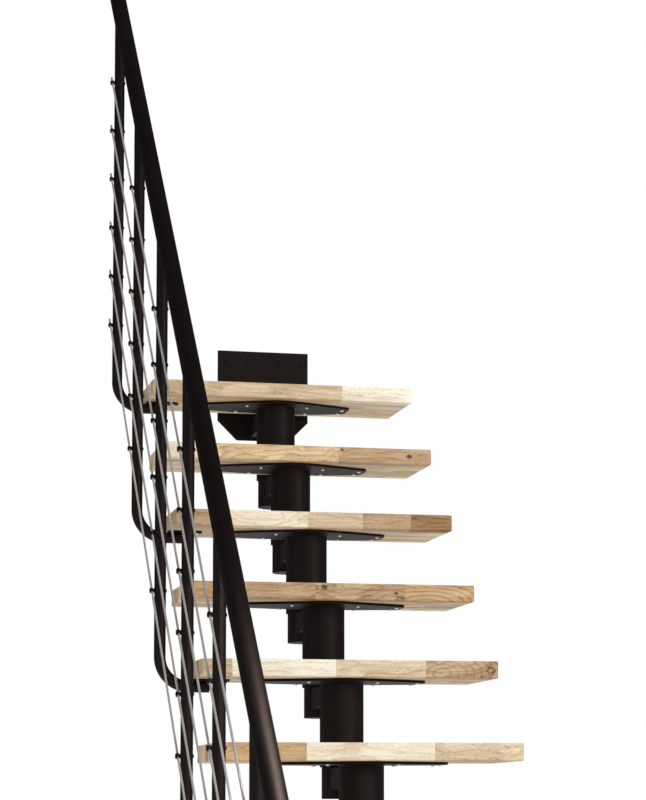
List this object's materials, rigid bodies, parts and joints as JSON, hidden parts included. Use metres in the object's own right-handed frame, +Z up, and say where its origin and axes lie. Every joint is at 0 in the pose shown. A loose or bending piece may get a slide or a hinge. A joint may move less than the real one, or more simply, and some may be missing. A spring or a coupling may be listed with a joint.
{
  "type": "modular staircase",
  "caption": "Straight modular staircase on a telescoping steel spine, with open timber treads and a black tubular railing with steel cables on one side.",
  "frame": {"origin": "centre of the floor plate's underside, on the axis of the lowest spine tube", "axes": "+X across the flight towards the side with no railing, +Y up the flight, +Z up"},
  "size_m": [0.7924, 2.844, 3.7018],
  "materials": {
    "timber": "satin lacquered butcher-block timber",
    "black_coat": "satin powder coat, near black",
    "cable_steel": "stranded stainless steel"
  },
  "bodies": {
    "root": {"floor_plate": "black_coat", "landing_plate": "black_coat", "spine_01": "black_coat", "spine_02": "black_coat", "spine_03": "black_coat", "spine_04": "black_coat", "spine_05": "black_coat", "spine_06": "black_coat", "spine_07": "black_coat", "spine_08": "black_coat", "spine_09": "black_coat", "spine_10": "black_coat", "spine_11": "black_coat", "spine_12": "black_coat", "spine_13": "black_coat", "tread_01": "timber", "tread_02": "timber", "tread_03": "timber", "tread_04": "timber", "tread_05": "timber", "tread_06": "timber", "tread_07": "timber", "tread_08": "timber", "tread_09": "timber", "tread_10": "timber", "tread_11": "timber", "tread_12": "timber", "tread_13": "timber", "baluster_01": "black_coat", "baluster_02": "black_coat", "baluster_03": "black_coat", "baluster_04": "black_coat", "baluster_05": "black_coat", "baluster_06": "black_coat", "baluster_07": "black_coat", "handrail": "black_coat", "handrail_caps": "black_coat", "cable_1": "cable_steel", "cable_2": "cable_steel", "cable_3": "cable_steel", "cable_4": "cable_steel", "cable_5": "cable_steel", "cable_6": "cable_steel", "cable_clips": "black_coat"}
  },
  "joints": []
}
